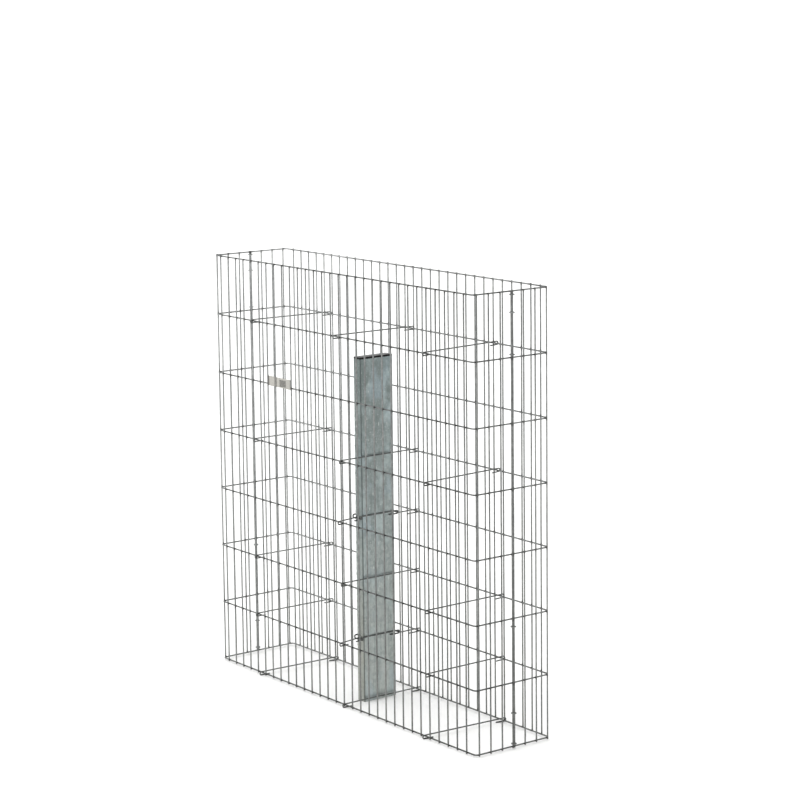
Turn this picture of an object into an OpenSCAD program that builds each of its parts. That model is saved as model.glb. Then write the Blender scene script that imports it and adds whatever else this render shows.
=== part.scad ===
// Gabion wall unit: an unfilled cage of welded wire mesh round a steel post.
// Millimetres. X runs along the wall, Y front (-) to back (+), Z up.
// The origin is under the middle of the cage, on the ground: the post's foot and the lowest
// hooks stand on it.

/* [Cage] */
// Length between the end rails' centre lines
cage_length = 1157; // [700:1:1600]
// Depth between the front and back rails' centre lines
cage_depth = 242; // [190:1:400]
// Height from one rail to the next
rail_pitch = 167; // [120:1:220]
// Bays from the bottom rail to the top rail
rail_bays = 7; // [7:1:9]
// Radius of the rails' bends at the corners, on the centre line
bend_r = 10; // [8:0.5:14]
// Gap between the front sheet and the back sheet at the seams
seam_gap = 0.6; // [0.4:0.1:1]

/* [Mesh wire] */
// Thickness of the mesh wire
wire_d = 4; // [3:0.5:5]
// Spacing of the upright wires
wire_pitch = 37.6; // [30:0.1:60]
// How far the weld sinks an upright into a rail
weld_sink = 0.6; // [0.3:0.1:1]
// Length of the uprights past the middle of the top and bottom rails
wire_overhang = 3.2; // [2.5:0.1:5]
// Least distance from a corner bend's end to the first upright of a long side
side_margin = 10; // [6:1:30]

/* [Spacers] */
// Thickness of the spacers' wire
spacer_d = 3.5; // [2.5:0.1:4.5]
// Play between a hook's two legs and the wire they hold
hook_play = 0.9; // [0.7:0.1:1.5]
// How far a hook reaches past the middle of its rail
hook_reach = 13; // [12:0.5:18]
// Length of a hook's tail, from the middle of its turn
hook_tail = 26; // [15:1:30]
// Distance from the middle of the cage to the outer columns of spacers
column_x = 382; // [200:1:540]

/* [Post] */
// Width of the post along the wall
post_width = 31; // [20:0.5:60]
// Depth of the post across the wall
post_depth = 108; // [60:1:140]
// Wall thickness of the post
post_wall = 2; // [1.5:0.5:4]
// Drop from the second rail to the top of the post's tube
post_drop = 67.5; // [20:0.5:500]
// Outer radius of the tube's corners
post_corner_r = 3; // [2.5:0.5:6]
// Height of the cap's head above the tube
cap_head = 5; // [3:0.5:10]
// Depth of the cap's plug inside the tube
cap_plug = 18; // [10:1:40]

/* [Post ties] */
// Thickness of the strap's wire
strap_d = 4; // [3:0.1:5]
// Length of the straps' tails, from the middle of the hook's turn
strap_tail = 25; // [15:1:40]

/* [Seam clips] */
// Thickness of the clips' wire
clip_d = 2.75; // [2:0.25:3.5]

/* [Tag plate] */
// Height of the plate
tag_height = 27; // [15:1:60]
// Thickness of the plate
tag_t = 1; // [0.8:0.1:2]

/* [Hidden] */
// Running gap between pieces that lie on each other
seat_gap = 0.2;
// Gap between a loose piece and what it encloses or stands beside
loose_gap = 0.4;
curve_fn = 48;

half_l = cage_length / 2;
half_d = cage_depth / 2;
weld_offset = wire_d - weld_sink;           // rail centre to upright centre
face_y = half_d + weld_offset + wire_d / 2; // outermost face of the long sides

// Uprights of a long side are centred on the cage
side_room = cage_length - 2 * bend_r - 2 * side_margin;
side_count = floor(side_room / wire_pitch) + 1;
function side_x(i) = (i - (side_count - 1) / 2) * wire_pitch;

// Uprights of an end are counted from the seam; the last may stand just inside the bend
bend_overlap = 2;
return_count = floor((half_d - bend_r + bend_overlap) / wire_pitch);
seam_wire_y = (seam_gap + wire_d) / 2;

// A hook's upper leg lies on its rail; its legs clear the thicker of the wires that hooks hold
lay_z = wire_d / 2 + spacer_d / 2 + seat_gap;
hook_legs = max(wire_d, strap_d) + spacer_d + hook_play;
hook_r = hook_legs / 2;
rail_reach = hook_reach - spacer_d / 2;      // from the rail to the hook's outermost centre line
turn_y = half_d + rail_reach;

// Rails are numbered from 0 at the top; the bottom rail is held up by the hooks round it
rail_lift = hook_legs - lay_z + spacer_d / 2;
function rail_z(k) = rail_lift + (rail_bays - k) * rail_pitch;
upright_foot = rail_lift - wire_overhang;
upright_length = rail_bays * rail_pitch + 2 * wire_overhang;

// Nearest place to x where a hook clears the uprights, on the side given by way
hook_clear = (wire_d + spacer_d) / 2 + loose_gap;
function nearest_upright(x) = side_x(round(x / wire_pitch + (side_count - 1) / 2));
function beside(x, way) =
    abs(x - nearest_upright(x)) >= hook_clear ? x : nearest_upright(x) + way * hook_clear;

// Rails that carry the outer columns, and how far each spacer is pushed off its column
outer_rails = [1, 3, 5, 6, 7];
left_front_shift = [-7, -2, -7, -7, 7];
left_back_shift = [7, 2, -2, -5, 17];
right_front_shift = [7, 7, 7, 7, -7];
right_back_shift = [-15, -10, 3, 5, 7];

// The middle column's first spacer passes over the post, the rest pass beside it
middle_rails = [1, 3, 5, 7];
over_post_front = 2;
over_post_back = 8;
post_height = rail_z(1) - post_drop;
pass_x = post_width / 2 + seat_gap + spacer_d / 2;
middle_front_shift = [0, 0, 1, 0];
middle_back_shift = [0, 1, 4, 7];

// Ties: the strap's side legs pass one leg gap above the links that hook into them
tie_rails = [4, 6];
strap_x = post_width / 2 + seat_gap + strap_d / 2;
strap_rise = lay_z + hook_r;
strap_held = lay_z - (strap_d + spacer_d) / 2 - seat_gap;   // strap's front above the rail's centre
link_end = hook_r + spacer_d / 2 + seat_gap;    // link's hook in front of the post
strap_front_y = -(post_depth / 2 + link_end);
strap_turn_y = post_depth / 2 + 6;              // middle of the turn behind the post
strap_bend_r = 3.5;
strap_link_tail = 11;                           // tail of the hook that holds the strap
rail_link_tail = 38;                            // tails of the back links at the back rail
front_link_x = beside(11, -1);
back_link_x = beside(strap_x + 8, 1);
link_bend_r = 5;
link_past = 6;                                  // link's end past the far strap hook

// Seam clips: rail number and distance above that rail
clip_places = [[0, -8], [0, -53], [1, 8], [5, -20], [6, -79], [7, 8]];
clip_inner_r = wire_d + seam_gap / 2 + loose_gap;
clip_r = clip_inner_r + clip_d / 2;

// Tag plate: first upright it stands beside, bays it spans, and its lower edge over rail 2
tag_first = 6;
tag_bays = 3;
tag_rail = 2;
tag_drop = 3;

mesh_zinc = "darkgray";
spacer_zinc = "gray";

// ---- wire ----

// Eight-sided section with its flats on the axes, d across the flats
module mesh_section() {
    rotate(22.5) circle(d = wire_d / cos(22.5), $fn = 8);
}

// Straight mesh wire of length h up from the origin
module mesh_bar(h) {
    linear_extrude(h) mesh_section();
}

function unit(v) = v / norm(v);
function turn_angle(a, b, c) = acos(unit(b - a) * unit(c - b));

// Round wire through the points, with every corner bent to radius r
module bent_wire(points, r, d) {
    last = len(points) - 1;
    trims = [for (i = [0:last])
        i == 0 || i == last ? 0
        : r * tan(turn_angle(points[i - 1], points[i], points[i + 1]) / 2)];
    for (i = [0:last - 1]) {
        way = unit(points[i + 1] - points[i]);
        start = points[i] + trims[i] * way;
        length = norm(points[i + 1] - points[i]) - trims[i] - trims[i + 1];
        if (length > 0.01) straight_wire(start, way, length, d);
    }
    for (i = [1:last - 1])
        elbow(points[i], unit(points[i] - points[i - 1]), unit(points[i + 1] - points[i]), r, d);
}

// Cylinder of diameter d from start, along the unit vector way
module straight_wire(start, way, length, d) {
    side = abs(way.z) > 0.9 ? unit(cross([0, 1, 0], way)) : unit(cross([0, 0, 1], way));
    up = cross(way, side);
    multmatrix([
        [side.x, up.x, way.x, start.x],
        [side.y, up.y, way.y, start.y],
        [side.z, up.z, way.z, start.z],
        [0, 0, 0, 1]
    ]) cylinder(d = d, h = length, $fn = curve_fn);
}

// Torus piece that turns from the unit vector in to the unit vector out, at the given corner
module elbow(corner, in, out, r, d) {
    angle = acos(in * out);
    centre = corner + unit(out - in) * r / cos(angle / 2);
    x = unit(corner - in * r * tan(angle / 2) - centre);
    z = cross(x, in);
    multmatrix([
        [x.x, in.x, z.x, centre.x],
        [x.y, in.y, z.y, centre.y],
        [x.z, in.z, z.z, centre.z],
        [0, 0, 0, 1]
    ]) rotate_extrude(angle = angle, $fn = curve_fn) translate([r, 0]) circle(d = d, $fn = curve_fn);
}

// ---- cage ----

// Flat long side at the front: straight rails inside, uprights outside
module side_panel() {
    straight = cage_length - 2 * bend_r;
    color(mesh_zinc) {
        for (k = [0:rail_bays])
            translate([-straight / 2, -half_d, rail_z(k)]) rotate([0, 90, 0]) mesh_bar(straight);
        for (i = [0:side_count - 1])
            translate([side_x(i), -half_d - weld_offset, upright_foot]) mesh_bar(upright_length);
    }
}

// Front left end of a sheet: the bends, and the short rails up to the seam
module return_panel() {
    straight = half_d - bend_r - seam_gap / 2;
    color(mesh_zinc) {
        for (k = [0:rail_bays]) translate([0, 0, rail_z(k)]) {
            translate([-half_l + bend_r, -half_d + bend_r, 0]) rotate([0, 0, 180])
                rotate_extrude(angle = 90, $fn = curve_fn) translate([bend_r, 0]) mesh_section();
            translate([-half_l, -seam_gap / 2 - straight, 0]) rotate([-90, 0, 0]) mesh_bar(straight);
        }
        for (y = concat(seam_wire_y, [for (i = [1:return_count]) i * wire_pitch]))
            translate([-half_l - weld_offset, -y, upright_foot]) mesh_bar(upright_length);
    }
}

module front_side() { side_panel(); }
module front_left_return() { return_panel(); }
module front_right_return() { mirror([1, 0, 0]) return_panel(); }
module back_side() { rotate([0, 0, 180]) side_panel(); }
module back_left_return() { rotate([0, 0, 180]) mirror([1, 0, 0]) return_panel(); }
module back_right_return() { rotate([0, 0, 180]) return_panel(); }

// Rings round the two uprights of one seam; side is -1 at the left end, 1 at the right
module seam_clips(side) {
    color(spacer_zinc)
    for (place = clip_places)
        translate([side * (half_l + weld_offset), 0, rail_z(place[0]) + place[1]])
            rotate_extrude($fn = curve_fn) translate([clip_r, 0]) circle(d = clip_d, $fn = curve_fn);
}

// ---- spacers ----

// Wire along Y from 0 to span at its upper legs' height, with a hook round each end point:
// reach is from an end point to the outermost centre line of its hook, tail from its turn inwards
module hooked_wire(span, near_reach, near_tail, far_reach, far_tail) {
    bent_wire([
        [0, hook_r - near_reach + near_tail, -hook_legs],
        [0, -near_reach, -hook_legs],
        [0, -near_reach, 0],
        [0, span + far_reach, 0],
        [0, span + far_reach, -hook_legs],
        [0, span + far_reach - hook_r - far_tail, -hook_legs]
    ], hook_r, spacer_d);
}

// Distance between two points, to a hundredth
function span_between(a, b) = round(norm(b - a) * 100) / 100;

// Turns what runs along Y from the origin so that it runs from a to b
module aim(a, b) {
    translate(a) rotate([0, 0, -atan2(b.x - a.x, b.y - a.y)]) children();
}

// Wire from the front rail to the back rail, hooked over both
module spacer(front_x, back_x, rail) {
    front = [front_x, -half_d, rail_z(rail) + lay_z];
    back = [back_x, half_d, rail_z(rail) + lay_z];
    color(spacer_zinc)
    aim(front, back)
        hooked_wire(span_between(front, back), rail_reach, hook_tail, rail_reach, hook_tail);
}

module spacer_left(n) {
    spacer(beside(-column_x + left_front_shift[n - 1], 1),
           beside(-column_x + left_back_shift[n - 1], 1), outer_rails[n - 1]);
}

module spacer_right(n) {
    spacer(beside(column_x + right_front_shift[n - 1], -1),
           beside(column_x + right_back_shift[n - 1], -1), outer_rails[n - 1]);
}

module spacer_middle(n) {
    start = n == 1 ? over_post_front : pass_x + middle_front_shift[n - 1];
    stop = n == 1 ? over_post_back : pass_x + middle_back_shift[n - 1];
    spacer(beside(start, 1), beside(stop, 1), middle_rails[n - 1]);
}

// ---- post ----

// Rectangle with round corners
module round_box(w, d, r) {
    steps = 6;
    corners = [[1, 1, 0], [-1, 1, 90], [-1, -1, 180], [1, -1, 270]];
    polygon([for (c = corners, s = [0:steps])
        [c[0] * (w / 2 - r) + r * cos(c[2] + s * 90 / steps),
         c[1] * (d / 2 - r) + r * sin(c[2] + s * 90 / steps)]]);
}

module post() {
    color("silver")
    difference() {
        linear_extrude(post_height) round_box(post_width, post_depth, post_corner_r);
        translate([0, 0, -1]) linear_extrude(post_height + 2)
            round_box(post_width - 2 * post_wall, post_depth - 2 * post_wall,
                      post_corner_r - post_wall + 0.5);
    }
}

module post_cap() {
    inner_w = post_width - 2 * (post_wall + seat_gap);
    inner_d = post_depth - 2 * (post_wall + seat_gap);
    color("dimgray")
    union() {
        translate([0, 0, post_height]) linear_extrude(cap_head)
            round_box(post_width, post_depth, post_corner_r);
        translate([0, 0, post_height - cap_plug]) linear_extrude(cap_plug + 1)
            round_box(inner_w, inner_d, post_corner_r - post_wall + 0.5);
    }
}

// ---- post ties ----

// Wire round the post's front, dropped to the rail's level there, hooked at both ends behind it
module post_strap(rail) {
    top = rail_z(rail) + strap_rise;
    held = rail_z(rail) + strap_held;
    low = top - hook_legs;
    tip = strap_turn_y + hook_r;
    tail = strap_turn_y - strap_tail;
    color(spacer_zinc)
    union() {
        bent_wire([
            [strap_x, strap_turn_y, top],
            [strap_x, strap_front_y, top],
            [strap_x, strap_front_y, held],
            [-strap_x, strap_front_y, held],
            [-strap_x, strap_front_y, top],
            [-strap_x, strap_turn_y, top]
        ], strap_bend_r, strap_d);
        for (x = [-strap_x, strap_x])
            bent_wire([
                [x, strap_turn_y - 1, top],
                [x, tip, top],
                [x, tip, low],
                [x, tail, low]
            ], hook_r, strap_d);
    }
}

// Wire from the front rail to the strap's front, hooked over both
module front_link(rail) {
    front = [front_link_x, -half_d, rail_z(rail) + lay_z];
    held = [0, strap_front_y, rail_z(rail) + lay_z];
    color(spacer_zinc)
    aim(front, held)
        hooked_wire(span_between(front, held), rail_reach, hook_tail, hook_r, strap_link_tail);
}

// Wire from the back rail to the strap's hooks, bent to pass through both behind the post
module back_link(rail) {
    top = rail_z(rail) + lay_z;
    low = top - hook_legs;
    color(spacer_zinc)
    union() {
        bent_wire([
            [back_link_x, turn_y - hook_r - rail_link_tail, low],
            [back_link_x, turn_y, low],
            [back_link_x, turn_y, top],
            [back_link_x, half_d, top]
        ], hook_r, spacer_d);
        bent_wire([
            [back_link_x, half_d + 1, top],
            [back_link_x, strap_turn_y, top],
            [-strap_x - link_past, strap_turn_y, top]
        ], link_bend_r, spacer_d);
    }
}

// ---- tag plate ----

// Plate in front of the uprights, sprung between two of them by its folded ends
module tag_plate() {
    left = side_x(tag_first) + wire_d / 2 + seat_gap;
    right = side_x(tag_first + tag_bays) - wire_d / 2 - seat_gap;
    back = -face_y - seat_gap;
    fold_end = -half_d - wire_d / 2 - loose_gap;
    bottom = rail_z(tag_rail) - tag_drop;
    color("gainsboro")
    union() {
        translate([left, back - tag_t, bottom]) cube([right - left, tag_t, tag_height]);
        for (x = [left, right - tag_t])
            translate([x, back - tag_t / 2, bottom]) cube([tag_t, fold_end - back + tag_t / 2, tag_height]);
    }
}

front_side();
front_left_return();
front_right_return();
back_side();
back_left_return();
back_right_return();
seam_clips(-1);  // seam_clips_left
seam_clips(1);  // seam_clips_right
for (n = [1:len(outer_rails)]) {
    spacer_left(n);
    spacer_right(n);
}
for (n = [1:len(middle_rails)])
    spacer_middle(n);
post();
post_cap();
post_strap(tie_rails[0]);  // post_strap_upper
post_strap(tie_rails[1]);  // post_strap_lower
front_link(tie_rails[0]);  // front_link_upper
front_link(tie_rails[1]);  // front_link_lower
back_link(tie_rails[0]);  // back_link_upper
back_link(tie_rails[1]);  // back_link_lower
tag_plate();
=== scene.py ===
import math
import random

import bmesh
import bpy
from mathutils import Matrix, Vector, noise
from mathutils.kdtree import KDTree


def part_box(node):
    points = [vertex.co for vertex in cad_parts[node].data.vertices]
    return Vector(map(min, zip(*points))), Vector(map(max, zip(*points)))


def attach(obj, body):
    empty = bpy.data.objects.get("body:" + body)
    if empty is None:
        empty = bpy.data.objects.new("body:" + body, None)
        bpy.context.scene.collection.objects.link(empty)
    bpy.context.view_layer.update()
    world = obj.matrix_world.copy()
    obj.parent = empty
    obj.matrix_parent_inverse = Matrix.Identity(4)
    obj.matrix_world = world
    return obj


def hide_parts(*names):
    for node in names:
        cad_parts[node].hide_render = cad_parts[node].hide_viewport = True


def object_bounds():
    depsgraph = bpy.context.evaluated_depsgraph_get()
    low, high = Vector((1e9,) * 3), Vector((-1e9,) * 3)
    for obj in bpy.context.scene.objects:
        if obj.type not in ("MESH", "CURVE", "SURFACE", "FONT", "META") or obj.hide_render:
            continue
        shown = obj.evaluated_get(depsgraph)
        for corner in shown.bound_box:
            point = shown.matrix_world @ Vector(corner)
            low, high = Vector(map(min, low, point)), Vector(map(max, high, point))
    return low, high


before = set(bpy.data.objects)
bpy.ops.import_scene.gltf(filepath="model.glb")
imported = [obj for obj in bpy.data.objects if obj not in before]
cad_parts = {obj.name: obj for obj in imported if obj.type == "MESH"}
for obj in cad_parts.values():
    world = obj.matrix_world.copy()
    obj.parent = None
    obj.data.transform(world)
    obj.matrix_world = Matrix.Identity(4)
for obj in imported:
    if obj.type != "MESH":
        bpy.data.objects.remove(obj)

cadLow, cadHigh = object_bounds()
mm = 0.001  # every size below is in millimetres, and the scene is in metres


# Colours are written as a paint shop gives them and turned to linear here
def linear(colour):
    parts = [int(colour[i:i + 2], 16) / 255 for i in (1, 3, 5)]
    return [p / 12.92 if p <= 0.04045 else ((p + 0.055) / 1.055) ** 2.4 for p in parts] + [1.0]


# Adds a node, sets it up and links it: an input is given as a value or as another node's output
def addNode(tree, kind, inputs={}, **settings):
    node = tree.nodes.new(kind)
    for name, value in settings.items():
        setattr(node, name, value)
    for name, value in inputs.items():
        if isinstance(value, bpy.types.NodeSocket):
            tree.links.new(value, node.inputs[name])
        else:
            node.inputs[name].default_value = value
    return node


def newMaterial(name):
    material = bpy.data.materials.new(name)
    material.use_nodes = True
    tree = material.node_tree
    shader = tree.nodes["Principled BSDF"]
    place = addNode(tree, "ShaderNodeTexCoord").outputs["Object"]
    return material, tree, shader, place


# A mottle from 0 to 1 with patches of the given size, stretched upright where the last value is small
def mottle(tree, place, patch, low, high, detail, upright=1.0):
    spread = addNode(tree, "ShaderNodeMapping", {"Vector": place, "Scale": (1, 1, upright)}).outputs[0]
    grain = addNode(tree, "ShaderNodeTexNoise",
                    {"Vector": spread, "Scale": 1 / (patch * mm), "Detail": detail, "Roughness": 0.55})
    return addNode(tree, "ShaderNodeMapRange",
                   {"Value": grain.outputs["Fac"], "From Min": low, "From Max": high}).outputs[0]


# Lays tones over a base, one after another: each has its pattern, its strength, its colour and its blend
def layTones(tree, base, tones):
    for pattern, strength, colour, blend in tones:
        share = addNode(tree, "ShaderNodeMath", {0: pattern, 1: strength}, operation="MULTIPLY").outputs[0]
        base = addNode(tree, "ShaderNodeMix", {0: share, 6: base, 7: linear(colour)},
                       data_type="RGBA", blend_type=blend).outputs[2]
    return base


# Corners of a node's box, in millimetres
def boxOf(node):
    return [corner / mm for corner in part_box(node)]


# Tones of the drawn wires. A pattern is its patch size, two levels of the noise and its detail.
meshWireLook = dict(dark="#909293", light="#aeb0b0", bloom="#dadad8", burnt="#464644", groundShade="#e4e4e2",
                    endShade="#d4d4d3", endShadeSpan=(-520, 350), groundShadeTop=900, cloud=(140, 0.35, 0.65, 3),
                    fine=(9, 0.3, 0.7, 3), grit=(1.2, 0.2, 0.8, 2), bump=0.08, bumpStrength=0.5,
                    rough=(0.38, 0.56))
# Rails are darker than the uprights: painted shade, for how the light falls on horizontal wires
railWireShadedLook = dict(meshWireLook, dark="#7b7d7e", light="#979999", burnt="#323231")
backWireLitLook = dict(meshWireLook, dark="#a0a2a3", light="#bdbfbf")  # paler than the front sheet: painted light on the back sheet
# Back rails: painted light, paler than the front rails, and painted shade, darker than the back uprights
backRailLitAndShadedLook = dict(backWireLitLook, dark="#929495", light="#adafb0")
spacerWireLook = dict(meshWireLook, dark="#707273", light="#888a8a", bloom="#d2d3cf",
                      cloud=(90, 0.35, 0.65, 3), fine=(7, 0.3, 0.7, 3), grit=(1.0, 0.2, 0.8, 2),
                      rough=(0.34, 0.5))


# Drawn steel wire with a zinc-aluminium coat: dull mid grey with a darker bloom, and burnt zinc at the
# welds. Painted shade darkens it a little towards the ground and towards the +X end of the cage, where
# the light falls off.
def zincWire(name, look):
    material, tree, shader, place = newMaterial(name)
    cloud = mottle(tree, place, *look["cloud"])
    fine = mottle(tree, place, *look["fine"])
    grit = mottle(tree, place, *look["grit"])
    spot = addNode(tree, "ShaderNodeSeparateXYZ", {"Vector": place})
    groundShadeMask = addNode(tree, "ShaderNodeMapRange", {"Value": spot.outputs["Z"], "From Max": look["groundShadeTop"] * mm,
                                               "To Min": 1.0, "To Max": 0.0}).outputs[0]
    endShadeStart, endShadeEnd = look["endShadeSpan"]
    endShadeMask = addNode(tree, "ShaderNodeMapRange", {"Value": spot.outputs["X"], "From Min": endShadeStart * mm,
                                                  "From Max": endShadeEnd * mm}).outputs[0]
    scorch = addNode(tree, "ShaderNodeAttribute", attribute_name="scorch").outputs["Fac"]
    # The ground and end masks are painted shade: the wire is darkened low down and towards +X, where the
    # light falls off
    colour = layTones(tree, linear(look["dark"]), [(cloud, 1.0, look["light"], "MIX"),
                                                   (fine, 1.0, look["bloom"], "MULTIPLY"),
                                                   (groundShadeMask, 1.0, look["groundShade"], "MULTIPLY"),
                                                   (endShadeMask, 1.0, look["endShade"], "MULTIPLY"),
                                                   (scorch, 1.0, look["burnt"], "MIX")])
    tree.links.new(colour, shader.inputs["Base Color"])
    rough = addNode(tree, "ShaderNodeMapRange",
                    {"Value": fine, "To Min": look["rough"][0], "To Max": look["rough"][1]})
    tree.links.new(rough.outputs[0], shader.inputs["Roughness"])
    bump = addNode(tree, "ShaderNodeBump", {"Height": grit, "Strength": look["bumpStrength"],
                                            "Distance": look["bump"] * mm})
    tree.links.new(bump.outputs[0], shader.inputs["Normal"])
    shader.inputs["Metallic"].default_value = 1.0
    return material


frontZinc = zincWire("zincAluminiumFrontWire", meshWireLook)
frontRailShadedZinc = zincWire("zincAluminiumFrontRailShaded", railWireShadedLook)
backLitZinc = zincWire("zincAluminiumBackWireLit", backWireLitLook)
backRailLitAndShadedZinc = zincWire("zincAluminiumBackRailLitAndShaded", backRailLitAndShadedLook)
spacerZinc = zincWire("zincSpacerWire", spacerWireLook)


# A pattern is its patch size, two levels of the noise, its detail and how it is stretched upright
# The edge colour is painted shade on the rounded corners, and the narrow faces take painted shade in the dark
# colour
tubeLook = dict(top="#767f7e", foot="#b3b9b7", dark="#6e7978", pale="#a8b4b4", blue="#a3b3bb",
                fleck="#d6dcda", splash="#a9a79b", edge="#4e5554", flower=9, wander=9, jag=4,
                band=(6, 0.42, 0.68, 3, 0.03), blotch=(31, 0.5, 0.66, 5, 0.55),
                patch=(60, 0.52, 0.64, 5, 0.6), speck=(3.2, 0.6, 0.74, 4, 0.6),
                rough=(0.34, 0.52), ridge=0.10, ridgeStrength=0.5,
                strength=dict(crystal=0.35, band=0.55, blotch=0.6, patch=0.35, narrowShade=0.35, speck=0.5,
                              splash=0.5, rimShade=0.7))
tearLook = dict(tubeLook, top="#c0c6c4", foot="#cbceca")


# Hot-dip galvanized steel: zinc crystals, bands and pale blotches where the bath ran off, bright specks
# and a warm splash of dirt at the foot. Painted shade darkens the rounded corners and the narrow faces.
def hotDipSteel(name, look):
    material, tree, shader, place = newMaterial(name)
    low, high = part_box("post")
    height = addNode(tree, "ShaderNodeSeparateXYZ", {"Vector": place}).outputs["Z"]
    rise = addNode(tree, "ShaderNodeMapRange",
                   {"Value": height, "From Min": low.z, "From Max": high.z}).outputs[0]
    wander = addNode(tree, "ShaderNodeTexNoise",
                     {"Vector": place, "Scale": 1 / (look["wander"] * mm), "Detail": 2.0})
    shifted = addNode(tree, "ShaderNodeVectorMath",
                      {0: wander.outputs["Color"], 1: [look["jag"] * mm] * 3}, operation="MULTIPLY")
    jagged = addNode(tree, "ShaderNodeVectorMath", {0: place, 1: shifted.outputs[0]})
    flowers = addNode(tree, "ShaderNodeTexVoronoi",
                      {"Vector": jagged.outputs[0], "Scale": 1 / (look["flower"] * mm), "Randomness": 1.0})
    crystal = addNode(tree, "ShaderNodeSeparateColor", {"Color": flowers.outputs["Color"]}).outputs[0]
    band, blotch, patch, speck = (mottle(tree, place, *look[name])
                                  for name in ("band", "blotch", "patch", "speck"))
    narrowShade, splash, rimShade = (addNode(tree, "ShaderNodeAttribute", attribute_name=name).outputs["Fac"]
                           for name in ("narrowShade", "splash", "rimShade"))
    strength = look["strength"]
    colour = layTones(tree, linear(look["foot"]), [(rise, 1.0, look["top"], "MIX"),
                                                   (crystal, strength["crystal"], look["dark"], "MIX"),
                                                   (band, strength["band"], look["dark"], "MIX"),
                                                   (blotch, strength["blotch"], look["pale"], "MIX"),
                                                   (patch, strength["patch"], look["blue"], "MIX"),
                                                   (narrowShade, strength["narrowShade"], look["dark"], "MIX"),
                                                   (speck, strength["speck"], look["fleck"], "MIX"),
                                                   (splash, strength["splash"], look["splash"], "MIX"),
                                                   (rimShade, strength["rimShade"], look["edge"], "MIX")])
    tree.links.new(colour, shader.inputs["Base Color"])
    rough = addNode(tree, "ShaderNodeMapRange",
                    {"Value": crystal, "To Min": look["rough"][0], "To Max": look["rough"][1]})
    tree.links.new(rough.outputs[0], shader.inputs["Roughness"])
    bump = addNode(tree, "ShaderNodeBump", {"Height": band, "Strength": look["ridgeStrength"],
                                            "Distance": look["ridge"] * mm})
    tree.links.new(bump.outputs[0], shader.inputs["Normal"])
    shader.inputs["Metallic"].default_value = 1.0
    return material


tubeZinc = hotDipSteel("hotDipGalvanizedSteel", tubeLook)
tearZinc = hotDipSteel("brightZincRuns", tearLook)


capLook = dict(dark="#080909", dusty="#151616", dust=(6, 0.45, 0.75, 4), grain=(0.6, 0.3, 0.7, 1),
               bump=0.02, bumpStrength=0.4, rough=0.24, ior=1.51, specular=0.12)


# Moulded polyethylene: near black and faintly glossy, with the fine grain of its mould and a trace of dust
def mouldedPolyethylene():
    look = capLook
    material, tree, shader, place = newMaterial("blackMouldedPolyethylene")
    dust = mottle(tree, place, *look["dust"])
    grain = mottle(tree, place, *look["grain"])
    colour = layTones(tree, linear(look["dark"]), [(dust, 1.0, look["dusty"], "MIX")])
    tree.links.new(colour, shader.inputs["Base Color"])
    bump = addNode(tree, "ShaderNodeBump", {"Height": grain, "Strength": look["bumpStrength"],
                                            "Distance": look["bump"] * mm})
    tree.links.new(bump.outputs[0], shader.inputs["Normal"])
    shader.inputs["Roughness"].default_value = look["rough"]
    shader.inputs["IOR"].default_value = look["ior"]
    shader.inputs["Specular IOR Level"].default_value = look["specular"]
    return material


capPlastic = mouldedPolyethylene()


tagLook = dict(paper=("#989690", "#aeaca5"), ink="#312f2b", worn=(4, 0.3, 0.7, 3), fade=(0.85, 0.5),
               fold=9, foldStrength=0.9, rough=0.55, ior=1.59,
               blocks=((40, 13.5, 6, 13.5), (74, 12.5, 15, 9.5)))  # middle across and up, half sizes


# Sheet polystyrene: matt warm grey, with a dark band at one fold and two plain printed blocks, worn
def tagSheet():
    look = tagLook
    material, tree, shader, place = newMaterial("palePolystyreneSheet")
    low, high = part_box("tag_plate")
    spot = addNode(tree, "ShaderNodeSeparateXYZ", {"Vector": place})
    across, up = spot.outputs["X"], spot.outputs["Z"]
    worn = mottle(tree, place, *look["worn"])
    faded = addNode(tree, "ShaderNodeMapRange",
                    {"Value": worn, "To Min": look["fade"][0], "To Max": look["fade"][1]}).outputs[0]
    fold = addNode(tree, "ShaderNodeMath", {0: across, 1: low.x + look["fold"] * mm},
                   operation="LESS_THAN").outputs[0]
    tones = [(worn, 1.0, look["paper"][1], "MIX"), (fold, look["foldStrength"], look["ink"], "MIX")]
    for x, z, halfWidth, halfHeight in look["blocks"]:
        wide = addNode(tree, "ShaderNodeMath", {0: across, 1: low.x + x * mm, 2: halfWidth * mm},
                       operation="COMPARE").outputs[0]
        tall = addNode(tree, "ShaderNodeMath", {0: up, 1: low.z + z * mm, 2: halfHeight * mm},
                       operation="COMPARE").outputs[0]
        block = addNode(tree, "ShaderNodeMath", {0: wide, 1: tall}, operation="MULTIPLY").outputs[0]
        tones.append((block, faded, look["ink"], "MIX"))
    colour = layTones(tree, linear(look["paper"][0]), tones)
    tree.links.new(colour, shader.inputs["Base Color"])
    shader.inputs["Roughness"].default_value = look["rough"]
    shader.inputs["IOR"].default_value = look["ior"]
    return material


tagPlastic = tagSheet()


# How any wire is drawn: the cut end's chamfer as a part of the wire and how far it stands out, extra
# rings beside a weld and how near a run's end one may lie, and the angle that stays a sharp edge
drawing = dict(chamfer=0.12, standOut=0.7, weldRings=(-7, -2.5, 2.5, 7), margin=1, creaseAngle=38)


# Every wire is a ring of edges that is pushed along its straight runs and spun round its bends
def startRing(bm, place, way, diameter, sides):
    upright = Vector((0, 0, 1)) if abs(way.z) < 0.9 else Vector((0, 1, 0))
    across = upright.cross(way).normalized()
    turn = Matrix((across, way.cross(across), way)).transposed().to_4x4()
    made = bmesh.ops.create_circle(bm, cap_ends=False, segments=sides, radius=diameter / 2,
                                   matrix=Matrix.Translation(place) @ turn)
    return list(dict.fromkeys(edge for vert in made["verts"] for edge in vert.link_edges))


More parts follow.
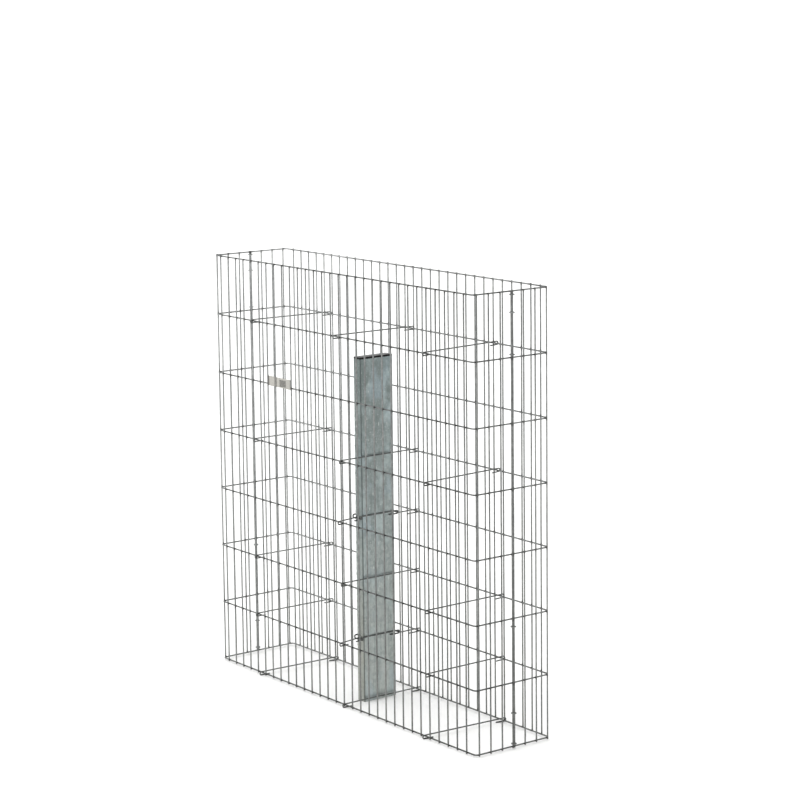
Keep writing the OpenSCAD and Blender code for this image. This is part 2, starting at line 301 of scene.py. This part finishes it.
def pushRing(bm, ring, step):
    grown = bmesh.ops.extrude_edge_only(bm, edges=ring)["geom"]
    verts = [g for g in grown if isinstance(g, bmesh.types.BMVert)]
    bmesh.ops.translate(bm, vec=step, verts=verts)
    return [g for g in grown if isinstance(g, bmesh.types.BMEdge) and set(g.verts) <= set(verts)]


def bendRing(bm, ring, centre, axis, angle, steps):
    geom = ring + list(dict.fromkeys(vert for edge in ring for vert in edge.verts))
    spun = bmesh.ops.spin(bm, geom=geom, cent=centre, axis=axis, dvec=(0, 0, 0), angle=angle,
                          steps=steps, use_merge=False, use_normal_flip=False, use_duplicate=False)
    return [g for g in spun["geom_last"] if isinstance(g, bmesh.types.BMEdge)]


# The cut end of a wire: a flat face inside a small chamfer
def closeRing(bm, ring, way, chamfer):
    face = bmesh.ops.contextual_create(bm, geom=ring)["faces"][0]
    bmesh.ops.inset_region(bm, faces=[face], thickness=chamfer, use_even_offset=True)
    bmesh.ops.translate(bm, vec=way * chamfer * drawing["standOut"], verts=face.verts)


# Distances along a run at which it gets a ring: near each weld, and never too far apart
def ringPlaces(start, end, welds, longest):
    way = (end - start).normalized()
    length = (end - start).length
    margin = drawing["margin"] * mm
    marks = {0.0, length}
    for weld in welds:
        along = (weld - start).dot(way)
        marks |= {along + d * mm for d in drawing["weldRings"] if margin < along + d * mm < length - margin}
    marks = sorted(marks)
    places = []
    for a, b in zip(marks, marks[1:]):
        parts = math.ceil((b - a) / (longest * mm))
        places += [a + (b - a) * k / parts for k in range(1, parts + 1)]
    return places


# Adds what a small bmesh holds to a piece's own, because the operators slow down as a mesh grows
def joinTo(bm, small):
    mesh = bpy.data.meshes.new("small")
    small.to_mesh(mesh)
    small.free()
    bm.from_mesh(mesh)
    bpy.data.meshes.remove(mesh)


# A wire through the points, in millimetres, with one bend radius for each inner point
def drawWire(piece, points, radii, diameter, sides, welds=(), longest=40, bendSteps=6):
    bm = bmesh.new()
    points = [Vector(p) * mm for p in points]
    chamfer = diameter * drawing["chamfer"] * mm
    ways = [(b - a).normalized() for a, b in zip(points, points[1:])]
    trims = [0.0]
    for way, after, radius in zip(ways, ways[1:], radii):
        trims.append(radius * mm * math.tan(way.angle(after) / 2))
    trims.append(0.0)
    place = points[0] + ways[0] * chamfer * drawing["standOut"]
    ring = startRing(bm, place, ways[0], diameter * mm, sides)
    closeRing(bm, ring, -ways[0], chamfer)
    for i, way in enumerate(ways):
        end = points[i + 1] - way * trims[i + 1]
        if i == len(ways) - 1:
            end -= way * chamfer * drawing["standOut"]
        if (end - place).dot(way) > 0.01 * mm:
            done = 0.0
            for along in ringPlaces(place, end, welds, longest):
                ring = pushRing(bm, ring, way * (along - done))
                done = along
        if i < len(ways) - 1:
            after = ways[i + 1]
            axis = way.cross(after).normalized()
            centre = end + axis.cross(way) * radii[i] * mm
            angle = way.angle(after)
            ring = bendRing(bm, ring, centre, axis, angle, max(2, round(bendSteps * angle / (math.pi / 2))))
            place = points[i + 1] + after * trims[i + 1]
    closeRing(bm, ring, ways[-1], chamfer)
    joinTo(piece, bm)


# A box between two corners, in millimetres
def addBox(bm, low, high):
    size = high - low
    bmesh.ops.create_cube(bm, size=1.0, matrix=Matrix.Translation((low + high) / 2 * mm)
                          @ Matrix.Diagonal((size.x * mm, size.y * mm, size.z * mm, 1)))


def roundUprightEdges(bm, radius):
    edges = [e for e in bm.edges if abs((e.verts[0].co - e.verts[1].co).z) > 1 * mm]
    bmesh.ops.bevel(bm, geom=edges, offset=radius * mm, segments=6, profile=0.5, affect="EDGES", material=-1)


def finishPiece(bm, name, material, nodes):
    bmesh.ops.recalc_face_normals(bm, faces=bm.faces)
    mesh = bpy.data.meshes.new(name)
    bm.to_mesh(mesh)
    bm.free()
    mesh.shade_smooth()
    mesh.set_sharp_from_angle(angle=math.radians(drawing["creaseAngle"]))
    mesh.materials.append(material)
    piece = bpy.data.objects.new(name, mesh)
    bpy.context.collection.objects.link(piece)
    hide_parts(*nodes)
    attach(piece, "root")
    print("made", name, len(mesh.loop_triangles), "triangles")


# Two sheets of welded mesh, each bent to a U: rails inside, uprights outside, open at the end seams
sheet = dict(wire=4.0, sides=12, railPitch=167.0, uprightPitch=37.6, overhang=3.2, bendRadius=10.0,
             seamGap=0.6, seamUpright=2.3, cutSpread=0.7, scorchReach=(2.2, 7.5),
             bow=0.45, bowLength=150, heldReach=8, bowRise=40, endDrift=0.5,
             nugget=(5.6, 1.9), nuggetSpread=(0.88, 1.08), nuggetSquash=(0.85, 1.0), weldReach=4,
             bowSeed=5)
noise.seed_set(sheet["bowSeed"])  # without it the wires would bow another way at each run

sideLow, sideHigh = boxOf("front_side")
endLow = boxOf("front_left_return")[0]
railY = -(sideHigh.y - sheet["wire"] / 2)          # rails' distance from the middle
uprightY = -(sideLow.y + sheet["wire"] / 2)
uprightX = -(endLow.x + sheet["wire"] / 2)
railX = uprightX - (uprightY - railY)
bottomRail = sideLow.z + sheet["overhang"]
railCount = 1 + round((sideHigh.z - sheet["overhang"] - bottomRail) / sheet["railPitch"])
railHeights = [bottomRail + k * sheet["railPitch"] for k in range(railCount)]
sideCount = 2 * round(sideHigh.x / sheet["uprightPitch"])
sideUprights = [(i - (sideCount - 1) / 2) * sheet["uprightPitch"] for i in range(sideCount)]
endUprights = [sheet["seamUpright"]] + [k * sheet["uprightPitch"] for k in (1, 2, 3)]


# Where the uprights of the front sheet stand, with the way out of the cage there
def uprightPlaces():
    places = [(Vector((x, -uprightY, 0)), Vector((0, -1, 0))) for x in sideUprights]
    for side in (-1, 1):
        places += [(Vector((side * uprightX, -y, 0)), Vector((side, 0, 0))) for y in endUprights]
    return places


def weldPlaces():
    sink = (uprightY - railY) / 2
    return [(place - out * sink + Vector((0, 0, z)), out)
            for place, out in uprightPlaces() for z in railHeights]


# Burns the zinc beside the welds, and lets the wires bow a little between them
def weather(bm, welds, seed, bow):
    tree = KDTree(len(welds))
    for i, (place, out) in enumerate(welds):
        tree.insert(place * mm, i)
    tree.balance()
    scorch = bm.verts.layers.float.new("scorch")
    near, far = sheet["scorchReach"]
    shift = Vector((seed, 2 * seed, 3 * seed))
    for vert in bm.verts:
        gap = tree.find(vert.co)[2] / mm
        vert[scorch] = max(0.0, min(1.0, (far - gap) / (far - near)))
        if bow:
            free = min(1.0, max(0.0, gap - sheet["heldReach"]) / sheet["bowRise"])
            drift = noise.noise_vector(vert.co / (sheet["bowLength"] * mm) + shift)
            drift.z *= sheet["endDrift"] if railHeights[0] < vert.co.z / mm < railHeights[-1] else 0.0
            vert.co += drift * free * bow * mm


# Both sheets are drawn as the front one. The turn then brings the second to the back.
def bendSheet(side, seed, turn, zinc, railShadedZinc):
    wire = sheet["wire"]
    welds = weldPlaces()
    luck = random.Random(seed)
    contacts = [place * mm for place, out in welds]

    rails = bmesh.new()
    for z in railHeights:
        path = [(-railX, -sheet["seamGap"] / 2, z), (-railX, -railY, z), (railX, -railY, z),
                (railX, -sheet["seamGap"] / 2, z)]
        drawWire(rails, path, [sheet["bendRadius"]] * 2, wire, sheet["sides"], contacts)

    uprights = bmesh.new()
    for place, out in uprightPlaces():
        top = sideHigh.z - luck.uniform(0, sheet["cutSpread"])
        foot = sideLow.z + luck.uniform(0, sheet["cutSpread"])
        touched = [w for w in contacts if (w.xy - place.xy * mm).length < sheet["weldReach"] * mm]
        drawWire(uprights, [(place.x, place.y, foot), (place.x, place.y, top)], [], wire, sheet["sides"],
                 touched)

    nuggets = bmesh.new()
    for place, out in welds:
        across, thick = (luck.uniform(*sheet["nuggetSpread"]) * size / 2 * mm for size in sheet["nugget"])
        spin = Matrix.Rotation(luck.uniform(0, math.pi), 4, out)
        aim = out.to_track_quat("Z", "X").to_matrix().to_4x4()
        squash = Matrix.Diagonal((across, across * luck.uniform(*sheet["nuggetSquash"]), thick, 1))
        nugget = bmesh.new()
        bmesh.ops.create_uvsphere(nugget, u_segments=8, v_segments=5, radius=1.0,
                                  matrix=Matrix.Translation(place * mm) @ spin @ aim @ squash)
        joinTo(nuggets, nugget)

    flip = Matrix.Rotation(turn, 3, "Z")
    nodes = [f"{side}_side", f"{side}_left_return", f"{side}_right_return"]
    parts = [("Rails", rails, railShadedZinc, sheet["bow"]), ("Uprights", uprights, zinc, sheet["bow"]),
             ("Welds", nuggets, zinc, 0)]
    for k, (part, bm, coatAndShade, bow) in enumerate(parts):
        weather(bm, welds, seed + k, bow)
        bmesh.ops.rotate(bm, cent=(0, 0, 0), matrix=flip, verts=bm.verts)
        finishPiece(bm, f"{side}Sheet{part}", coatAndShade, nodes)


# The back sheet's wires are paler as painted light, and each sheet's rails are darker as painted shade
bendSheet("front", 11, 0.0, frontZinc, frontRailShadedZinc)
bendSheet("back", 41, math.pi, backLitZinc, backRailLitAndShadedZinc)
print("mesh sheets done")


# Wires across the cage, hooked over the front and back rails. A slant of -1 runs towards -X at the back.
spacer = dict(wire=3.5, sides=16, hookLegs=8.4, hookReach=11.2, tail=26.0, tailSpread=3.0,
              splayRange=(0.3, 1.0), longest=60, bendSteps=7,
              slants=dict(left=(1, 1, 1, 1, 1), middle=(1, 1, 1, 1), right=(-1, -1, -1, -1, 1)))


# A wire from one held wire to another with a hook at each end; reaches, tails and splays are for both
def hookedWire(bm, near, far, reaches, tails, splays):
    legs = spacer["hookLegs"]
    way = (far - near).normalized()
    side = Vector((way.y, -way.x, 0))
    drop = Vector((0, 0, -legs))
    turns = [near - way * reaches[0], far + way * reaches[1]]
    ends = [turns[0] + way * (legs / 2 + tails[0]) + side * splays[0],
            turns[1] - way * (legs / 2 + tails[1]) + side * splays[1]]
    path = [ends[0] + drop, turns[0] + drop, turns[0], turns[1], turns[1] + drop, ends[1] + drop]
    drawWire(bm, path, [legs / 2] * 4, spacer["wire"], spacer["sides"], longest=spacer["longest"],
             bendSteps=spacer["bendSteps"])


def makeSpacer(column, number, slant):
    node = f"spacer_{column}_{number}"
    low, high = boxOf(node)
    luck = random.Random(node)
    half = spacer["wire"] / 2
    xs = (low.x + half, high.x - half)
    nearX, farX = xs if slant > 0 else xs[::-1]
    z = high.z - half
    turnY = railY + spacer["hookReach"]
    lean = (farX - nearX) / (2 * turnY)
    near = Vector((nearX + lean * spacer["hookReach"], -railY, z))
    far = Vector((farX - lean * spacer["hookReach"], railY, z))
    bm = bmesh.new()
    splays = [luck.uniform(*spacer["splayRange"]) * spacer["tailSpread"] * slant * end for end in (1, -1)]
    hookedWire(bm, near, far, [spacer["hookReach"]] * 2, [spacer["tail"]] * 2, splays)
    finishPiece(bm, f"{column}Spacer{number}", spacerZinc, [node])


for column, slants in spacer["slants"].items():
    for number, slant in enumerate(slants, 1):
        makeSpacer(column, number, slant)
print("spacers done")


# Hog rings closed round the two uprights of each seam, their points almost meeting
clip = dict(wire=2.75, sides=12, gap=14, point=0.55, pointLength=0.5, arcSteps=34, mouthSpread=0.9,
            places=((0, -8), (0, -53), (1, 8), (5, -20), (6, -79), (7, 8)))  # rail from the top, rise over it


def makeClips(side, sign):
    node = f"seam_clips_{side}"
    low, high = boxOf(node)
    centreX = (low.x + high.x) / 2
    ringR = (high.x - low.x) / 2 - clip["wire"] / 2
    gap = math.radians(clip["gap"])
    luck = random.Random(node)
    bm = bmesh.new()
    for rail, rise in clip["places"]:
        centre = Vector((centreX, 0, railHeights[-1 - rail] + rise)) * mm
        mouth = luck.uniform(-clip["mouthSpread"], clip["mouthSpread"]) + (0 if sign > 0 else math.pi)
        start = Matrix.Rotation(mouth + gap / 2, 3, "Z") @ Vector((ringR * mm, 0, 0))
        way = Vector((-start.y, start.x, 0)).normalized()
        ring = startRing(bm, centre + start, way, clip["wire"] * mm, clip["sides"])
        last = bendRing(bm, ring, centre, Vector((0, 0, 1)), 2 * math.pi - gap, clip["arcSteps"])
        for end, out in ((ring, -way), (last, Matrix.Rotation(-gap, 3, "Z") @ way)):
            pointed = pushRing(bm, end, out * clip["pointLength"] * mm)
            verts = list(dict.fromkeys(v for e in pointed for v in e.verts))
            middle = sum((v.co for v in verts), Vector()) / len(verts)
            bmesh.ops.scale(bm, vec=(clip["point"],) * 3, space=Matrix.Translation(-middle), verts=verts)
            bmesh.ops.contextual_create(bm, geom=pointed)
    # The clips take the back sheet's paler tone, which is painted light
    finishPiece(bm, f"{side}SeamClips", backLitZinc, [node])


makeClips("left", -1)
makeClips("right", 1)
print("seam clips done")


# Rectangular tube, hot-dip galvanized after it was cut, with walls that ripple a little
post = dict(wall=2.0, corner=3.0, cutZ=14, cutAcross=6, ripple=0.12, rippleLength=45,
            marked=0.9, splashTop=520, splashGain=1.3, splashElsewhere=0.25)


# Marks the rounded corners and the narrow faces, which take painted shade, and where dirt splashes up
def markPost(bm, low, high):
    rimShade, narrowShade, splash = (bm.verts.layers.float.new(name) for name in ("rimShade", "narrowShade", "splash"))
    edgeReach = post["corner"] * post["marked"]
    for vert in bm.verts:
        x, y, z = vert.co / mm
        fromSide, fromEnd = min(x - low.x, high.x - x), min(y - low.y, high.y - y)
        vert[rimShade] = 1.0 if max(fromSide, fromEnd) < edgeReach else 0.0
        vert[narrowShade] = 1.0 if fromEnd < edgeReach else 0.0
        front = 1.0 if y < low.y + post["corner"] else post["splashElsewhere"]
        vert[splash] = front * max(0.0, min(1.0, post["splashGain"] * (1 - z / post["splashTop"])))


def makePost():
    low, high = boxOf("post")
    size = high - low
    bm = bmesh.new()
    addBox(bm, low, high)
    ends = [face for face in bm.faces if abs(face.normal.z) > 0.5]
    bmesh.ops.delete(bm, geom=ends, context="FACES_ONLY")
    roundUprightEdges(bm, post["corner"])
    for axis, step in enumerate((post["cutAcross"], post["cutAcross"], post["cutZ"])):
        normal = Vector([float(i == axis) for i in range(3)])
        count = round(size[axis] / step)
        for k in range(1, count):
            place = Vector(low)
            place[axis] += size[axis] * k / count
            bmesh.ops.bisect_plane(bm, geom=bm.verts[:] + bm.edges[:] + bm.faces[:], dist=1e-6,
                                   plane_co=place * mm, plane_no=normal)
    bmesh.ops.recalc_face_normals(bm, faces=bm.faces)
    bm.normal_update()
    for vert in bm.verts:
        swell = noise.noise(vert.co / (post["rippleLength"] * mm))
        vert.co -= vert.normal * (0.5 + 0.5 * swell) * post["ripple"] * mm
    for vert in bm.verts:  # the cut ends stay flat
        if vert.co.z < 1 * mm or vert.co.z > (size.z - 1) * mm:
            vert.co.z = low.z * mm if vert.co.z < 1 * mm else high.z * mm
    markPost(bm, low, high)
    bmesh.ops.solidify(bm, geom=bm.faces[:], thickness=post["wall"] * mm)
    finishPiece(bm, "hollowPost", tubeZinc, ["post"])


# Bright tears of zinc: three in four lie on the front face by its left corner, the rest on the face at +X
tear = dict(count=240, width=(0.5, 1.4), length=(1.5, 6.0), rise=0.4, sink=0.1, clear=0.4, spread=2.6,
            reach=9, sideShare=0.6, sideMargin=5, lowest=120, belowTop=60, densest=560)


def makeTears():
    low, high = boxOf("post")
    luck = random.Random(7)
    bm = bmesh.new()
    for k in range(tear["count"]):
        width = luck.uniform(*tear["width"])
        length = luck.uniform(*tear["length"])
        z = luck.triangular(tear["lowest"], high.z - tear["belowTop"], tear["densest"])
        if k % 4:
            inward = width + tear["clear"] + min(tear["reach"], abs(luck.gauss(0, tear["spread"])))
            place = Vector((low.x + inward, low.y + tear["sink"], z))
            shape = (width, tear["rise"], length)
        else:
            place = Vector((high.x, luck.uniform(low.y + tear["sideMargin"], high.y - tear["sideMargin"]), z))
            shape = (tear["rise"] * tear["sideShare"], width, length)
        bmesh.ops.create_uvsphere(bm, u_segments=8, v_segments=5, radius=1.0,
                                  matrix=Matrix.Translation(place * mm)
                                  @ Matrix.Diagonal([s * mm for s in shape] + [1]))
    finishPiece(bm, "postZincTears", tearZinc, ["post"])


makePost()
makeTears()


# A flat head with a broken top edge, and a plug that goes down inside the tube
cap = dict(head=5.0, corner=3.0, edge=1.3, skirt=2.2)


def makeCap():
    low, high = boxOf("post_cap")
    base = high.z - cap["head"]
    bm = bmesh.new()
    addBox(bm, Vector((low.x, low.y, base)), high)
    roundUprightEdges(bm, cap["corner"])
    top = max(bm.faces, key=lambda f: f.calc_center_median().z)
    bmesh.ops.bevel(bm, geom=top.edges[:], offset=cap["edge"] * mm, segments=4, profile=0.5,
                    affect="EDGES", material=-1)
    under = min(bm.faces, key=lambda f: (round(f.calc_center_median().z, 6), -f.calc_area()))
    bmesh.ops.inset_region(bm, faces=[under], thickness=cap["skirt"] * mm, use_even_offset=True)
    plug = bmesh.ops.extrude_face_region(bm, geom=[under])["geom"]
    bmesh.ops.delete(bm, geom=[under], context="FACES_ONLY")
    bmesh.ops.translate(bm, vec=(0, 0, (low.z - base) * mm),
                        verts=[g for g in plug if isinstance(g, bmesh.types.BMVert)])
    finishPiece(bm, "postCap", capPlastic, ["post_cap"])


makeCap()
print("post done")


# A strap round the post at two heights, held by a hooked link to the front and to the back rail
tie = dict(strapWire=4.0, sides=16, strapX=17.7, frontY=-60.15, turnY=60.0, rise=4.2, foldRise=0.25,
           tail=25.0, bend=3.5, linkX=11.0, heldTail=11.0, linkSplay=(2.0, 1.0), railTail=38.0,
           backX=25.7, backBend=5.0, linkPast=6.0, longest=60)


def makeTies(level):
    legTop = boxOf("front_link_" + level)[1].z - spacer["wire"] / 2
    legs = spacer["hookLegs"]
    reach = spacer["hookReach"]

    bm = bmesh.new()
    front = Vector((tie["linkX"], -railY, legTop))
    held = Vector((0, tie["frontY"], legTop))
    hookedWire(bm, front, held, [reach, legs / 2], [spacer["tail"], tie["heldTail"]], tie["linkSplay"])
    finishPiece(bm, level + "FrontLink", spacerZinc, ["front_link_" + level])

    bm = bmesh.new()
    top = legTop + tie["rise"]
    fold = legTop - legs / 2 + tie["foldRise"]
    tip = tie["turnY"] + legs / 2
    x = tie["strapX"]
    path = [(x, tip - legs / 2 - tie["tail"], top - legs), (x, tip, top - legs), (x, tip, top),
            (x, tie["frontY"], top), (x, tie["frontY"], fold), (-x, tie["frontY"], fold),
            (-x, tie["frontY"], top), (-x, tip, top), (-x, tip, top - legs),
            (-x, tip - legs / 2 - tie["tail"], top - legs)]
    bends = [legs / 2] * 2 + [tie["bend"]] * 4 + [legs / 2] * 2
    drawWire(bm, path, bends, tie["strapWire"], tie["sides"], longest=tie["longest"])
    finishPiece(bm, level + "PostStrap", spacerZinc, ["post_strap_" + level])

    bm = bmesh.new()
    x = tie["backX"]
    turnY = railY + reach
    path = [(x, turnY - legs / 2 - tie["railTail"], legTop - legs), (x, turnY, legTop - legs),
            (x, turnY, legTop), (x, tie["turnY"], legTop),
            (-tie["strapX"] - tie["linkPast"], tie["turnY"], legTop)]
    drawWire(bm, path, [legs / 2, legs / 2, tie["backBend"]], spacer["wire"], spacer["sides"],
             longest=tie["longest"])
    finishPiece(bm, level + "BackLink", spacerZinc, ["back_link_" + level])


makeTies("upper")
makeTies("lower")
print("post ties done")


# A thin strip with both ends folded in between two uprights
tag = dict(thick=1.0, edge=0.3)


def makeTag():
    low, high = boxOf("tag_plate")
    thick = tag["thick"]
    bm = bmesh.new()
    for a, b in ((low, Vector((high.x, low.y + thick, high.z))),
                 (Vector((low.x, low.y + thick, low.z)), Vector((low.x + thick, high.y, high.z))),
                 (Vector((high.x - thick, low.y + thick, low.z)), high)):
        addBox(bm, a, b)
    bmesh.ops.bevel(bm, geom=bm.edges[:], offset=tag["edge"] * mm, segments=2, profile=0.5,
                    affect="EDGES", material=-1)
    finishPiece(bm, "tagPlate", tagPlastic, ["tag_plate"])


makeTag()
print("tag plate done")


studioFloor = dict(dark="#fbfbfa", light="#fdfdfc", cloud=(400, 0.3, 0.7, 3), rough=0.9, halfSize=400.0,
                   drop=0.2)  # half size in metres, so that the edge is never in view


# Seamless studio paper: plain, matt and almost white
def makeFloor():
    material, tree, shader, place = newMaterial("paleStudioPaper")
    cloud = mottle(tree, place, *studioFloor["cloud"])
    colour = layTones(tree, linear(studioFloor["dark"]), [(cloud, 1.0, studioFloor["light"], "MIX")])
    tree.links.new(colour, shader.inputs["Base Color"])
    shader.inputs["Roughness"].default_value = studioFloor["rough"]
    bm = bmesh.new()
    bmesh.ops.create_grid(bm, x_segments=4, y_segments=4, size=studioFloor["halfSize"])
    bmesh.ops.translate(bm, vec=(0, 0, cadLow.z - studioFloor["drop"] * mm), verts=bm.verts)
    mesh = bpy.data.meshes.new("studioFloor")
    bm.to_mesh(mesh)
    bm.free()
    mesh.materials.append(material)
    floor = bpy.data.objects.new("studioFloor", mesh)
    bpy.context.collection.objects.link(floor)


# White walls all round, brighter on one side, a darker ceiling, and a broad light from above
studio = dict(wall="#ffffff", ceiling="#d2d2d2", ceilingSpan=(0.15, 0.8), strength=1.06, glow=1.4,
              glowWay=(0.8, 0.6, 0), lampTurn=(28, -22, 0), lampSpread=125, lampPower=1.9)


def lightStudio():
    world = bpy.data.worlds.new("whiteStudio")
    world.use_nodes = True
    tree = world.node_tree
    way = addNode(tree, "ShaderNodeTexCoord").outputs["Generated"]
    rise = addNode(tree, "ShaderNodeSeparateXYZ", {"Vector": way}).outputs["Z"]
    ceiling = addNode(tree, "ShaderNodeMapRange", {"Value": rise, "From Min": studio["ceilingSpan"][0],
                                                   "From Max": studio["ceilingSpan"][1]}).outputs[0]
    colour = layTones(tree, linear(studio["wall"]), [(ceiling, 1.0, studio["ceiling"], "MIX")])
    side = addNode(tree, "ShaderNodeVectorMath", {0: way, 1: studio["glowWay"]}, operation="DOT_PRODUCT")
    glow = addNode(tree, "ShaderNodeMapRange", {"Value": side.outputs["Value"], "From Min": 0.0,
                                                "To Min": studio["strength"], "To Max": studio["glow"]})
    back = tree.nodes["Background"]
    tree.links.new(colour, back.inputs["Color"])
    tree.links.new(glow.outputs[0], back.inputs["Strength"])
    bpy.context.scene.world = world
    lamp = bpy.data.lights.new("broadLight", "SUN")
    lamp.angle = math.radians(studio["lampSpread"])
    lamp.energy = studio["lampPower"]
    light = bpy.data.objects.new("broadLight", lamp)
    light.rotation_euler = [math.radians(a) for a in studio["lampTurn"]]
    bpy.context.collection.objects.link(light)


camera = dict(place=(5.2184, -3.8614, 1.9660), heading=52.85, dip=8.12, roll=0.64, lens=110.4,
              sensor=36.0, shiftY=-0.1, clipEnd=1000)  # place and clip end in metres, angles in degrees


def setCamera():
    data = bpy.data.cameras.new("viewCamera")
    data.lens = camera["lens"]
    data.sensor_width = camera["sensor"]
    data.shift_y = camera["shiftY"]
    data.clip_end = camera["clipEnd"]
    shown = bpy.data.objects.new("viewCamera", data)
    bpy.context.collection.objects.link(shown)
    shown.matrix_world = (Matrix.Translation(camera["place"])
                          @ Matrix.Rotation(math.radians(camera["heading"]), 4, "Z")
                          @ Matrix.Rotation(math.radians(90 - camera["dip"]), 4, "X")
                          @ Matrix.Rotation(math.radians(-camera["roll"]), 4, "Z"))
    bpy.context.scene.camera = shown
    bpy.context.scene.view_settings.view_transform = "Standard"


makeFloor()
lightStudio()
setCamera()
print("stage done")
